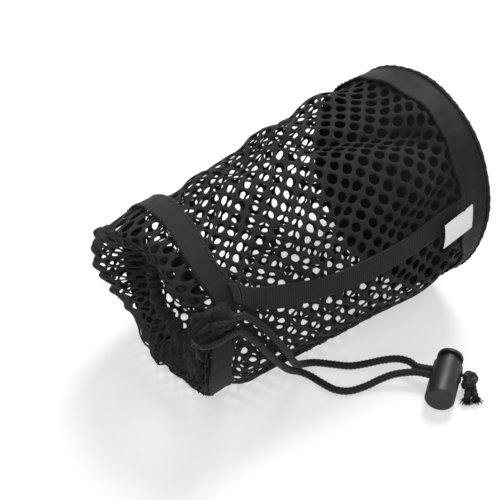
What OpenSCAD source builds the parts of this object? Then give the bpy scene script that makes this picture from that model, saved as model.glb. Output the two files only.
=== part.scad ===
// Small drawstring net bag of the laundry-net kind, lying on its side, mouth towards -X.
// Millimetres. The bag rests on Z = 0; the round base closes the +X end.

/* [Bag body] */
// Length of the net body from the collar tape to the base rim
body_len = 133; // [110:1:165]
// Half width of the filled bag at the collar
collar_w = 46; // [36:0.5:56]
// Half height of the filled bag at the collar
collar_h = 45; // [36:0.5:56]
// Half width of the filled bag at the base rim
base_w = 52.3; // [42:0.1:63]
// Half height of the filled bag at the base rim
base_h = 48.5; // [40:0.5:60]
// How far the net swells past a straight cone at mid length
belly = 2.5; // [0:0.5:6]
// Angle the base leans back from upright
base_lean = 11; // [0:1:15]
// Angle the collar is turned about the vertical
collar_yaw = 10; // [0:1:15]
// Thickness of the net wall
net_t = 0.8; // [0.5:0.1:1.2]
// How much of the round section is pressed flat on the floor
floor_sink = 1.5; // [0.5:0.1:3]

/* [Collar, hem and ruffle] */
// Width of the collar tape
tape_w = 13; // [10:0.5:17]
// Thickness of the collar tape
tape_t = 1; // [0.6:0.1:1.4]
// Radius of the gathered mouth to the middle of the hem
mouth_r = 22; // [17:0.5:27]
// Outer radius of the hem tunnel
hem_r = 3.2; // [2.7:0.1:4]
// Radial clearance of the drawcord in the hem tunnel
hem_clear = 0.25; // [0.1:0.05:0.5]
// How far the ruffle puffs out ahead of the collar
puff = 9; // [5:0.5:12]
// Number of gathers round the ruffle
gathers = 20; // [12:1:26]
// Depth of each gather
gather_d = 1.2; // [0.4:0.1:2]

/* [Base, strap and label] */
// Width of the smooth band beside the base
band_w = 16; // [12:0.5:20]
// Thickness of the band
band_t = 0.8; // [0.5:0.1:1.2]
// Width of the rim binding along the bag
rim_w = 2.4; // [1.8:0.1:3.2]
// Thickness of the base panel
panel_t = 1.2; // [0.8:0.1:2]
// How far the base panel domes outwards
panel_dome = 3; // [0:0.5:5]
// Width of the carry strap
strap_w = 10; // [8:0.5:13]
// Thickness of the carry strap
strap_t = 1; // [0.7:0.1:1.4]
// Length of the folded care label
label_len = 16; // [12:0.5:20]
// Width of the folded care label
label_w = 11; // [8:0.5:14]
// Thickness of the folded care label
label_t = 0.6; // [0.4:0.1:1]
// Clearance between sewn layers
layer_gap = 0.2; // [0.1:0.05:0.3]

/* [Drawcord and cord lock] */
// Diameter of the braided drawcord
cord_d = 3.5; // [3:0.1:4]
// Clearance between the cords and the lock's cord hole on each side
cord_clear = 0.2; // [0.1:0.05:0.4]
// Outer diameter of the lock barrel
lock_d = 14; // [13:0.5:17]
// Length of the lock barrel
lock_len = 22.5; // [21:0.5:28]
// Diameter of the plunger
plunger_d = 9.8; // [9:0.1:11]
// Radial running clearance of the plunger
plunger_fit = 0.06; // [0.03:0.01:0.1]
// Diameter of the button flange
flange_d = 12.4; // [11.5:0.1:15]
// Thickness of the button flange
flange_t = 2.2; // [1.6:0.1:3]
// Length of plunger showing below the flange
neck_len = 4.6; // [3.5:0.1:6]
// Travel of the button
button_travel = 2.5; // [2:0.1:3]
// Thickness of the barrel's closed end
lock_floor = 2; // [1.5:0.1:3]
// Wire diameter of the lock spring
spring_wire = 0.6; // [0.4:0.1:0.7]
// Coil radius of the lock spring to the middle of the wire
spring_r = 3.6; // [3:0.1:4]
// Number of coils in the lock spring
spring_turns = 3.5; // [2.5:0.5:4]

/* [Hidden] */
seg = 48;
xc = -body_len / 2;
xr = body_len / 2;
xf = xc - tape_w;
cord_r = cord_d / 2;
tape_skin = layer_gap + tape_t;
band_skin = layer_gap + band_t;
end_lift = tape_skin + 0.3;

// Mouth ring: centre and the direction in which the cords leave it
mouth_c = [-78.5, -7, 50.5];
mouth_yaw = tan(5);
exit_a = 157;
exit_gap = 34;

// Lock placement on the floor
lock_a = 37.5;
lock_p = [2, -97.5, lock_d / 2];
lock_u = [cos(lock_a), sin(lock_a), 0];
lock_q = [-sin(lock_a), cos(lock_a), 0];
cord_gap = 0.25;
hole_w = cord_d + 2 * cord_clear;
hole_wall = 1.6;
hole_hi = lock_len - hole_wall;
hole_lo = hole_hi - 2 * cord_d - cord_gap - 2 * cord_clear;
cord_hi = hole_hi - cord_clear - cord_r;
cord_lo = cord_hi - cord_d - cord_gap;
plunger_lo = hole_lo - 3.4;
plunger_top = lock_len + neck_len;
bore_r = plunger_d / 2 + plunger_fit;

function clamp(v, lo, hi) = min(max(v, lo), hi);
function bump(a, c, w) = exp(-pow((a - c) / w, 2));
function turn(a) = a - 360 * floor(a / 360);
// The collar is pulled back at the strap and sags forward beside it
function wave(a) = 5 * bump(turn(a), 142, 14) - 3.5 * bump(turn(a), 187, 18) + 4 * bump(turn(a), 240, 26);

// A point of the bag's skin: station x, angle a round the bag (0 = +Y, 90 = up), d outside the net
function pt(x, a, d) =
    let (t = (x - xc) / body_len)
    let (u = clamp(t, 0, 1))
    let (w = collar_w + (base_w - collar_w) * u + belly * sin(180 * u))
    let (h = collar_h + (base_h - collar_h) * u + belly * sin(180 * u))
    let (lift = end_lift * clamp((abs(2 * t - 1) - 0.4) / 0.6, 0, 1))
    let (cz = h - floor_sink)
    let (y = (w + d) * cos(a))
    let (z = max(cz + (h + d) * sin(a), lift - d))
    [x + y * tan(collar_yaw) * (1 - u) + (z - cz) * tan(base_lean) * u + wave(a) * pow(1 - u, 2), y, z];

// Closed solid between two point grids of n + 1 rows; ring = rows close on themselves
module shell(outer, inner, n, m, ring) {
    k = (n + 1) * m;
    c = ring ? m : m - 1;
    function o(i, j) = i * m + j % m;
    function q(i, j) = k + i * m + j % m;
    sides = [for (i = [0:n - 1]) for (j = [0:c - 1]) for (f = [
        [o(i, j), o(i + 1, j), o(i + 1, j + 1)],
        [o(i, j), o(i + 1, j + 1), o(i, j + 1)],
        [q(i, j), q(i + 1, j + 1), q(i + 1, j)],
        [q(i, j), q(i, j + 1), q(i + 1, j + 1)]]) f];
    ends = [for (j = [0:c - 1]) for (f = [
        [q(0, j), o(0, j), o(0, j + 1)],
        [q(0, j), o(0, j + 1), q(0, j + 1)],
        [q(n, j), o(n, j + 1), o(n, j)],
        [q(n, j), q(n, j + 1), o(n, j + 1)]]) f];
    walls = ring ? [] : [for (i = [0:n - 1]) for (f = [
        [q(i, 0), q(i + 1, 0), o(i + 1, 0)],
        [q(i, 0), o(i + 1, 0), o(i, 0)],
        [q(i, m - 1), o(i + 1, m - 1), q(i + 1, m - 1)],
        [q(i, m - 1), o(i, m - 1), o(i + 1, m - 1)]]) f];
    polyhedron(concat(outer, inner), concat(sides, ends, walls), convexity = 8);
}

function spread(lo, hi, n) = [for (i = [0:n]) lo + (hi - lo) * i / n];
function rest(v) = [for (i = [1:len(v) - 1]) v[i]];

// Full ring of skin through a list of stations
module ring_skin(xs, d0, d1) {
    outer = [for (x = xs) for (j = [0:seg - 1]) pt(x, 360 * j / seg, d1)];
    inner = [for (x = xs) for (j = [0:seg - 1]) pt(x, 360 * j / seg, d0)];
    shell(outer, inner, len(xs) - 1, seg, true);
}

// Ribbon on the skin along rows of [station, angle], w wide
module ribbon(rows, w, m, d0, d1) {
    n = len(rows) - 1;
    r = (collar_w + base_w) / 2;
    function a(i, j) = rows[i][1] + (j / (m - 1) - 0.5) * w / r * 180 / PI;
    outer = [for (i = [0:n]) for (j = [0:m - 1]) pt(rows[i][0], a(i, j), d1)];
    inner = [for (i = [0:n]) for (j = [0:m - 1]) pt(rows[i][0], a(i, j), d0)];
    shell(outer, inner, n, m, false);
}

// Tube of radius r swept along points p, with sides faces; n0 starts the frame
module tube(p, r, sides) {
    n = len(p) - 1;
    function unit(v) = v / norm(v);
    function dir(i) = unit(p[min(i + 1, n)] - p[max(i - 1, 0)]);
    function level(v, t) = unit(v - t * (t * v));
    function sides_at(i, s) = i > n ? [] : concat([level(s, dir(i))], sides_at(i + 1, level(s, dir(i))));
    frames = sides_at(0, cross(dir(0), [0.1, 0.2, 1]));
    rings = [for (i = [0:n]) let (t = dir(i), s = frames[i], b = cross(t, s))
        for (j = [0:sides - 1]) p[i] + r * (cos(360 * j / sides) * s + sin(360 * j / sides) * b)];
    skin = [for (i = [0:n - 1]) for (j = [0:sides - 1]) for (f = [
        [i * sides + j, (i + 1) * sides + j, (i + 1) * sides + (j + 1) % sides],
        [i * sides + j, (i + 1) * sides + (j + 1) % sides, i * sides + (j + 1) % sides]]) f];
    polyhedron(concat(rings, [p[0], p[n]]), concat(
        skin,
        [for (j = [0:sides - 1]) [(n + 1) * sides, j, (j + 1) % sides]],
        [for (j = [0:sides - 1]) [(n + 1) * sides + 1, n * sides + (j + 1) % sides, n * sides + j]]),
        convexity = 8);
}

function mouth(a, r, dx) = mouth_c + [r * cos(a) * mouth_yaw + dx, r * cos(a), r * sin(a)];

// Ruffle between the collar (k = 0) and the hem (k = 1)
function ruffle(k, a, off) =
    let (b = pt(xf - layer_gap, a, -net_t * (off == 0 ? 0 : 1)))
    let (m = mouth(a, mouth_r + hem_r + layer_gap, off == 0 ? 0 : net_t))
    let (open = 1 - 0.75 * bump(turn(a), 160, 18))
    let (p = (puff + puff * cos(a - 50)) * open + 1.5 - off * net_t)
    let (g = gather_d * cos(gathers * a) * sin(180 * k) * open)
    let (c = b * (1 - k) + m * k)
    let (s = sin(180 * pow(k, 0.75)))
    [c[0] - p * s - g, c[1] + (2 - off * 0.5) * cos(a) * sin(180 * k), max(c[2] + (2 - off * 0.5) * sin(a) * sin(180 * k), 0.3 + 0.8 * off)];

tape_xs = spread(xf, xc, 4);
band_xs = spread(xr - band_w, xr, 4);
strap_rows = [
    [xc + layer_gap, 143], [xc + 8, 148], [xc + 18, 152], [xc + 30, 156.5], [xc + 44, 160.5],
    [xc + 57, 163], [xc + 70, 164], [xc + 84, 164], [xc + 98, 163.5],
    [xr - band_w - 7, 162.5], [xr - band_w - layer_gap, 161]];

// Cord routes: held by the hem, then free down the side and along the floor
cord_a = [
    [-80, -23.9, 64.6], [-81, -26.4, 62.4], [-84, -29.4, 62.2], [-88.2, -33, 63.8], [-91.5, -38, 66.4],
    [-91.5, -43.4, 68.8], [-86, -47.2, 69.4], [-78.4, -46.4, 67.6], [-71.5, -45.8, 65], [-67.1, -47.2, 60.7],
    [-62.5, -49.4, 54.7], [-58, -50.8, 47.6], [-53.5, -51, 39.3], [-48.5, -50, 30.2], [-44, -47.6, 21.5],
    [-38, -43.5, 12.5], [-31, -39.8, 5.5], [-24, -40, 2.2], [-18, -46, 2], [-12.5, -51.6, 2],
    [-6, -55.5, 2.6], [0.5, -59.5, 4], [5.5, -64.5, 5.8], [8, -70, 6.8]];
cord_b = [
    [-80.4, -28.9, 52.8], [-81.6, -29.8, 55.6], [-85.4, -32.8, 57.6], [-90, -37, 58.8], [-94.2, -42, 60.2],
    [-94.6, -47.6, 61.8], [-89.6, -50.4, 62.6], [-82.4, -49.2, 61.8], [-75.7, -48, 59.7], [-71.3, -49, 55.1],
    [-66.9, -50.2, 49], [-62.6, -50.6, 41.7], [-57.5, -49.8, 33.6], [-52, -48, 25], [-46.5, -46, 17],
    [-40.5, -43, 9.5], [-35, -41.5, 4.2], [-31.5, -45, 2.1], [-30, -52, 2], [-28, -59, 2],
    [-23.5, -63.8, 2], [-16, -66.5, 2.4], [-8, -68.5, 4], [-1.5, -71.8, 6]];
run_in = 14;
knot_seat = 4.2;
run_out = lock_d / 2 + 0.6;
function on_lock(s, q) = lock_p + s * lock_u + q * lock_q;
knot_c = on_lock((cord_hi + cord_lo) / 2, -lock_d / 2 - knot_seat) - [0, 0, 2];
knot_r = 3.7;
tail_1 = [16, -101.5, 2.2];
tail_2 = [19.5, -103.5, 2.2];

module mesh_tube() {
    color([0.12, 0.13, 0.12])
        ring_skin(concat(tape_xs, rest(spread(xc, xr - band_w, 11)), rest(band_xs)), -net_t, 0);
}

module neck_ruffle() {
    rows = 10;
    cols = 100;
    color([0.1, 0.11, 0.1])
        shell(
            [for (i = [0:rows]) for (j = [0:cols - 1]) ruffle(1 - i / rows, 360 * j / cols, 0)],
            [for (i = [0:rows]) for (j = [0:cols - 1]) ruffle(1 - i / rows, 360 * j / cols, 1)],
            rows, cols, true);
}

// Open ring: it stops at the gap where the cord comes out
module hem_tunnel() {
    n = 36;
    a0 = exit_a + exit_gap / 2;
    da = (360 - exit_gap) / n;
    function at(i, r) = [for (j = [0:9]) let (a = a0 + da * i)
        mouth(a, mouth_r + r * cos(36 * j), r * sin(36 * j))];
    color([0.1, 0.11, 0.1])
        shell(
            [for (i = [0:n]) for (p = at(i, hem_r)) p],
            [for (i = [0:n]) for (p = at(i, cord_r + hem_clear)) p],
            n, 10, true);
}

module collar_tape() {
    color([0.2, 0.21, 0.19])
        ring_skin(tape_xs, layer_gap, tape_skin);
}

module carry_strap() {
    color([0.2, 0.21, 0.19])
        ribbon(strap_rows, strap_w, 4, 2 * layer_gap, 2 * layer_gap + strap_t);
}

module base_band() {
    color([0.15, 0.16, 0.15])
        ring_skin(band_xs, layer_gap, band_skin);
}

// Domed disc inside the end of the net
module base_panel() {
    rings = 5;
    function disc(i, dx) = let (f = i / rings)
        [for (j = [0:seg - 1]) let (e = pt(xr, 360 * j / seg, -net_t - layer_gap), c = [xr, 0, base_h - floor_sink])
            c + (e - c) * f + [dx + panel_dome * (1 - f * f), 0, 0]];
    out = [for (i = [1:rings]) for (p = disc(i, 0)) p];
    inn = [for (i = [1:rings]) for (p = disc(i, -panel_t)) p];
    k = rings * seg;
    mid = [xr + panel_dome, 0, base_h - floor_sink];
    faces = concat(
        [for (i = [0:rings - 2]) for (j = [0:seg - 1]) for (f = [
            [i * seg + j, i * seg + (j + 1) % seg, (i + 1) * seg + (j + 1) % seg],
            [i * seg + j, (i + 1) * seg + (j + 1) % seg, (i + 1) * seg + j],
            [k + i * seg + j, k + (i + 1) * seg + (j + 1) % seg, k + i * seg + (j + 1) % seg],
            [k + i * seg + j, k + (i + 1) * seg + j, k + (i + 1) * seg + (j + 1) % seg]]) f],
        [for (j = [0:seg - 1]) for (f = [
            [(rings - 1) * seg + j, (rings - 1) * seg + (j + 1) % seg, k + (rings - 1) * seg + (j + 1) % seg],
            [(rings - 1) * seg + j, k + (rings - 1) * seg + (j + 1) % seg, k + (rings - 1) * seg + j],
            [2 * k, (j + 1) % seg, j],
            [2 * k + 1, k + j, k + (j + 1) % seg]]) f]);
    color([0.12, 0.13, 0.13])
        polyhedron(concat(out, inn, [mid, mid - [panel_t, 0, 0]]), faces, convexity = 4);
}

// Binding over the ends of the net, the band and the panel's edge
module base_rim() {
    function rim(x, d) = [for (j = [0:seg - 1]) pt(xr, 360 * j / seg, d) + [x, 0, 0]];
    hi = band_skin + 0.3;
    lo = -net_t - 0.6;
    color([0.17, 0.18, 0.17])
        shell(
            concat(rim(layer_gap, hi - 0.5), rim(layer_gap + rim_w * 0.3, hi), rim(layer_gap + rim_w * 0.75, hi - 0.1), rim(rim_w, hi - 0.9)),
            concat(rim(layer_gap, lo), rim(layer_gap + rim_w * 0.3, lo), rim(layer_gap + rim_w * 0.75, lo), rim(rim_w, lo + 0.3)),
            3, seg, true);
}

// Folded tab held at the band's edge, lying over the strap's end
module care_label() {
    d0 = 2 * layer_gap + strap_t + 0.3;
    r = (collar_w + base_w) / 2;
    half = label_w / 2 / r * 180 / PI;
    x1 = xr - band_w + 6.5;
    function row(i) = let (f = i / 4) [x1 - label_len * (1 - f), 171.5 - 4 * f];
    outer = [for (i = [0:4]) for (j = [0:3]) pt(row(i)[0], row(i)[1] + (2 * j / 3 - 1) * half, d0 + label_t)];
    inner = [for (i = [0:4]) for (j = [0:3]) pt(row(i)[0], row(i)[1] + (2 * j / 3 - 1) * half, d0)];
    color([0.93, 0.93, 0.92])
        shell(outer, inner, 4, 4, false);
}

module drawcord_loop() {
    n = 40;
    a0 = exit_a + exit_gap / 2;
    color([0.14, 0.14, 0.13])
        tube([for (i = [0:n]) mouth(a0 + (360 - exit_gap) * i / n, mouth_r, 0)], cord_r, 8);
}

module drawcord_a() {
    color([0.14, 0.14, 0.13])
        tube(concat(cord_a, [on_lock(cord_hi, run_in), on_lock(cord_hi, 7), on_lock(cord_hi, 0), on_lock(cord_hi, -run_out)]), cord_r, 8);
}

module drawcord_b() {
    color([0.14, 0.14, 0.13])
        tube(concat(cord_b, [on_lock(cord_lo, run_in), on_lock(cord_lo, 7), on_lock(cord_lo, 0), on_lock(cord_lo, -run_out)]), cord_r, 8);
}

module drawcord_knot() {
    color([0.13, 0.13, 0.12])
        translate(knot_c)
            rotate([0, 0, lock_a])
                scale([4.9 / knot_r, 1, 4.5 / knot_r])
                    sphere(knot_r, $fn = 20);
}

module cord_tail_a() {
    color([0.13, 0.13, 0.12])
        tube([knot_c - 2 * lock_u, (knot_c + tail_1) / 2 - 0.6 * lock_u, tail_1], cord_r, 8);
}

module cord_tail_b() {
    color([0.13, 0.13, 0.12])
        tube([knot_c + [-0.5, -1.6, -0.4], (knot_c + tail_2) / 2 + [0, -0.8, 0], tail_2], cord_r, 8);
}

module on_axis() {
    translate(lock_p)
        rotate([0, 0, lock_a])
            rotate([0, 90, 0])
                children();
}

// Slot through the lock for the two cords, between heights lo and hi
module cord_slot(lo, hi) {
    for (s = [lo + hole_w / 2, hi - hole_w / 2])
        translate([0, 0, s])
            rotate([90, 0, 0])
                cylinder(h = 3 * lock_d, r = hole_w / 2, center = true, $fn = 48);
    translate([-hole_w / 2, -1.5 * lock_d, lo + hole_w / 2])
        cube([hole_w, 3 * lock_d, hi - lo - hole_w]);
}

module lock_barrel() {
    color([0.15, 0.15, 0.15])
        on_axis()
            difference() {
                union() {
                    translate([0, 0, 0.8])
                        cylinder(h = lock_len - 0.8, r = lock_d / 2, $fn = 64);
                    cylinder(h = 0.8, r1 = lock_d / 2 - 0.8, r2 = lock_d / 2, $fn = 64);
                }
                translate([0, 0, lock_floor])
                    cylinder(h = lock_len, r = bore_r, $fn = 64);
                cord_slot(hole_lo, hole_hi);
            }
}

module lock_plunger() {
    color([0.14, 0.14, 0.14])
        on_axis()
            difference() {
                union() {
                    translate([0, 0, plunger_lo])
                        cylinder(h = plunger_top - plunger_lo, r = plunger_d / 2, $fn = 64);
                    translate([0, 0, plunger_top])
                        cylinder(h = flange_t - 0.6, r = flange_d / 2, $fn = 64);
                    translate([0, 0, plunger_top + flange_t - 0.6])
                        cylinder(h = 0.6, r1 = flange_d / 2, r2 = flange_d / 2 - 0.6, $fn = 64);
                }
                cord_slot(hole_lo, hole_hi + button_travel);
            }
}

module lock_spring() {
    n = 14;
    lo = lock_floor + spring_wire / 2 + 0.05;
    hi = plunger_lo - spring_wire / 2 - 0.05;
    steps = round(n * spring_turns);
    function coil(i) = [spring_r * cos(360 * i / n), spring_r * sin(360 * i / n), lo + (hi - lo) * i / steps];
    color([0.6, 0.6, 0.62])
        on_axis()
            tube([for (i = [0:steps]) coil(i)], spring_wire / 2, 6);
}

mesh_tube();
neck_ruffle();
hem_tunnel();
collar_tape();
carry_strap();
base_band();
base_panel();
base_rim();
care_label();
drawcord_loop();
drawcord_a();
drawcord_b();
drawcord_knot();
cord_tail_a();
cord_tail_b();
lock_barrel();
lock_plunger();
lock_spring();
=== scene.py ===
import math
import bpy
import numpy as np
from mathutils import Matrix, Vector


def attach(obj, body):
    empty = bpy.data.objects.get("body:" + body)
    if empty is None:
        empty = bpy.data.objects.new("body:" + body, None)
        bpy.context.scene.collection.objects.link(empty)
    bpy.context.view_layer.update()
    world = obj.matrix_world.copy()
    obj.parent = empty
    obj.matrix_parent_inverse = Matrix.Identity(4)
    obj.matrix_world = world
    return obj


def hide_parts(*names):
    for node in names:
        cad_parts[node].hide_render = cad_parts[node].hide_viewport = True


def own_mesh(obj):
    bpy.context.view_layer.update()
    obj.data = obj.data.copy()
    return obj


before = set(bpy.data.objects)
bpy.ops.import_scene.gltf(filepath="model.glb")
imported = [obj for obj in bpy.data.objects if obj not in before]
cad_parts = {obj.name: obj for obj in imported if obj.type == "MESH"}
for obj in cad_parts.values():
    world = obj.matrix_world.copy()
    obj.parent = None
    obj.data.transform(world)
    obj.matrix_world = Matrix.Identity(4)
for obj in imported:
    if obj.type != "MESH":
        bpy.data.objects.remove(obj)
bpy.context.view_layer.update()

MM = 0.001
rng = np.random.default_rng(7)

# ---------------------------------------------------------------- camera
cam_data = bpy.data.cameras.new("camera")
cam = bpy.data.objects.new("camera", cam_data)
bpy.context.scene.collection.objects.link(cam)
cam_data.sensor_width = 36.0
cam_data.lens = 152.64
cam_data.clip_end = 20
cam.location = (-0.48209, -0.57644, 0.70786)
aim = Vector((-0.02456, 0.00917, 0.03873)) - cam.location
cam.rotation_euler = aim.to_track_quat("-Z", "Y").to_euler()
bpy.context.scene.camera = cam

# ---------------------------------------------------------------- sizes, as in part.scad (mm)
BODY, CW, CH, BW, BH, BELLY = 133.0, 46.0, 45.0, 52.3, 48.5, 2.5
LEAN, YAW = math.radians(11), math.radians(10)
TAPE_W, BAND_W, SINK = 13.0, 16.0, 1.5
XC, XR = -BODY / 2, BODY / 2
XF = XC - TAPE_W
LIFT = 1.5
MOUTH = np.array([-78.5, -7.0, 50.5])
MOUTH_R, HEM_R, CORD_R = 22.0, 3.2, 1.75
LOCK_A = math.radians(37.5)
LOCK_P = np.array([2.0, -97.5, 7.0])
LOCK_U = np.array([math.cos(LOCK_A), math.sin(LOCK_A), 0.0])
LOCK_Q = np.array([-math.sin(LOCK_A), math.cos(LOCK_A), 0.0])
CORD_HI, CORD_LO = 22.5 - 1.6 - 0.2 - 1.75, 22.5 - 1.6 - 0.2 - 1.75 - 3.75


def bump(a, c, w):
    return np.exp(-(((a - c) / w) ** 2))


def wave(a):
    a = np.degrees(a) % 360
    return 5 * bump(a, 142, 14) - 3.5 * bump(a, 187, 18) + 4 * bump(a, 240, 26)


def skin(x, a, d=0.0):
    """Points of the bag's skin in mm: station x, angle a, d outside the net."""
    x, a, d = np.broadcast_arrays(np.asarray(x, float), np.asarray(a, float), np.asarray(d, float))
    t = (x - XC) / BODY
    u = np.clip(t, 0, 1)
    w = CW + (BW - CW) * u + BELLY * np.sin(np.pi * u)
    h = CH + (BH - CH) * u + BELLY * np.sin(np.pi * u)
    lift = LIFT * np.clip((np.abs(2 * t - 1) - 0.4) / 0.6, 0, 1)
    cz = h - SINK
    y = (w + d) * np.cos(a)
    z = np.maximum(cz + (h + d) * np.sin(a), lift - d)
    px = x + y * math.tan(YAW) * (1 - u) + (z - cz) * math.tan(LEAN) * u + wave(a) * (1 - u) ** 2
    return np.stack([px, y, z], -1)


# ---------------------------------------------------------------- mesh helpers
def make(name, verts_mm, faces, uv=None, mat=None, smooth=True, body="bag", extra=None):
    me = bpy.data.meshes.new(name)
    verts = np.array(verts_mm, float) * MM
    verts[:, 2] = np.maximum(verts[:, 2], 0)  # nothing reaches below the floor
    faces = np.asarray(faces, np.int64)
    me.vertices.add(len(verts))
    me.vertices.foreach_set("co", verts.ravel())
    k = faces.shape[1]
    me.loops.add(faces.size)
    me.loops.foreach_set("vertex_index", faces.ravel().astype(np.int32))
    me.polygons.add(len(faces))
    me.polygons.foreach_set("loop_start", np.arange(0, faces.size, k, dtype=np.int32))
    me.polygons.foreach_set("loop_total", np.full(len(faces), k, np.int32))
    me.update(calc_edges=True)
    if uv is not None:
        layer = me.uv_layers.new(name="cloth")
        layer.data.foreach_set("uv", np.asarray(uv, float)[faces.ravel()].ravel())
    if smooth:
        me.polygons.foreach_set("use_smooth", np.ones(len(faces), bool))
    me.validate()
    ob = bpy.data.objects.new(name, me)
    bpy.context.scene.collection.objects.link(ob)
    if mat:
        me.materials.append(mat)
    if body:
        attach(ob, body)
    return ob


def join(parts):
    """Merges (verts, faces, uv) lists of quads into one."""
    vs, fs, us, n = [], [], [], 0
    for v, f, u in parts:
        vs.append(v)
        fs.append(np.asarray(f) + n)
        us.append(u)
        n += len(v)
    return np.concatenate(vs), np.concatenate(fs), np.concatenate(us)


def grid_faces(n, m, wrap_m=False, wrap_n=False, flip=False):
    i, j = np.meshgrid(np.arange(n if wrap_n else n - 1), np.arange(m if wrap_m else m - 1), indexing="ij")
    i, j = i.ravel(), j.ravel()
    i2, j2 = (i + 1) % n, (j + 1) % m
    f = np.stack([i * m + j, i2 * m + j, i2 * m + j2, i * m + j2], 1)
    return f[:, ::-1] if flip else f


def catmull(p, n):
    """n + 1 points along a smooth curve through p, evenly spaced along it."""
    p = np.asarray(p, float)
    q = np.vstack([2 * p[0] - p[1], p, 2 * p[-1] - p[-2]])
    out = []
    for i in range(1, len(q) - 2):
        t = np.linspace(0, 1, 24, endpoint=False)[:, None]
        a, b, c, d = q[i - 1], q[i], q[i + 1], q[i + 2]
        out.append(0.5 * (2 * b + (c - a) * t + (2 * a - 5 * b + 4 * c - d) * t**2 + (3 * b - a - 3 * c + d) * t**3))
    out = np.vstack(out + [p[-1:]])
    for _ in range(6):
        out[1:-1] += 0.35 * ((out[2:] + out[:-2]) / 2 - out[1:-1])
    s = np.concatenate([[0], np.cumsum(np.linalg.norm(np.diff(out, axis=0), axis=1))])
    t = np.linspace(0, s[-1], n + 1)
    return np.stack([np.interp(t, s, out[:, k]) for k in range(3)], 1), s[-1]


def frames(p):
    """Tangent, side and up vectors along points, without twist."""
    t = np.gradient(p, axis=0)
    t /= np.linalg.norm(t, axis=1)[:, None]
    s = np.zeros_like(p)
    v = np.cross(t[0], [0.13, 0.21, 1.0])
    for i in range(len(p)):
        v = v - t[i] * (t[i] @ v)
        v = v / np.linalg.norm(v)
        s[i] = v
    return t, s, np.cross(t, s)


def braid(p, r, sides=40, wales=6, pitch=1.9, depth=0.3, closed_ends=True):
    """A braided round cord along evenly spaced points p, in mm."""
    t, s, b = frames(p)
    ds = np.linalg.norm(np.diff(p, axis=0), axis=1)
    arc = np.concatenate([[0], np.cumsum(ds)])
    th = np.linspace(0, 2 * np.pi, sides, endpoint=False)
    A, T = np.meshgrid(arc, th, indexing="ij")
    w = T * wales / (2 * np.pi)
    tri = np.abs((w % 1) - 0.5) * 2
    ridge = 0.5 + 0.5 * np.cos(2 * np.pi * (A / pitch + 0.55 * tri))
    groove = np.clip(1 - np.minimum(tri, 1 - tri) * 5, 0, 1)
    rr = r + depth * (ridge - 0.7) - 0.35 * depth * groove
    if closed_ends:
        e = np.clip(np.minimum(arc, arc[-1] - arc) / (0.5 * r), 0, 1)
        rr = rr * np.sqrt(np.clip(1 - (1 - e) ** 2, 0.0, 1))[:, None]
    v = p[:, None] + rr[..., None] * (np.cos(T)[..., None] * s[:, None] + np.sin(T)[..., None] * b[:, None])
    uv = np.stack([A, T * r], -1)
    n, m = A.shape
    return v.reshape(-1, 3), grid_faces(n, m, wrap_m=True), uv.reshape(-1, 2)


# ---------------------------------------------------------------- materials
def nodes_of(name):
    m = bpy.data.materials.new(name)
    m.use_nodes = True
    nt = m.node_tree
    nt.nodes.clear()
    out = nt.nodes.new("ShaderNodeOutputMaterial")
    p = nt.nodes.new("ShaderNodeBsdfPrincipled")
    nt.links.new(p.outputs[0], out.inputs[0])
    return m, nt, p


def node(nt, kind, links=(), **vals):
    n = nt.nodes.new(kind)
    for k, v in vals.items():
        if k in n.inputs:
            n.inputs[k].default_value = v
        else:
            setattr(n, k, v)
    for sock, src in links:
        nt.links.new(src, n.inputs[sock])
    return n


def math_n(nt, op, a, b=None, c=None):
    n = nt.nodes.new("ShaderNodeMath")
    n.operation = op
    for i, v in enumerate((a, b, c)):
        if v is None:
            continue
        if isinstance(v, (int, float)):
            n.inputs[i].default_value = v
        else:
            nt.links.new(v, n.inputs[i])
    return n.outputs[0]


def ramp(nt, fac, stops):
    n = nt.nodes.new("ShaderNodeValToRGB")
    el = n.color_ramp.elements
    while len(el) > 1:
        el.remove(el[-1])
    el[0].position, el[0].color = stops[0][0], (*stops[0][1], 1)
    for pos, col in stops[1:]:
        e = el.new(pos)
        e.color = (*col, 1)
    nt.links.new(fac, n.inputs[0])
    return n.outputs[0]


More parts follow.
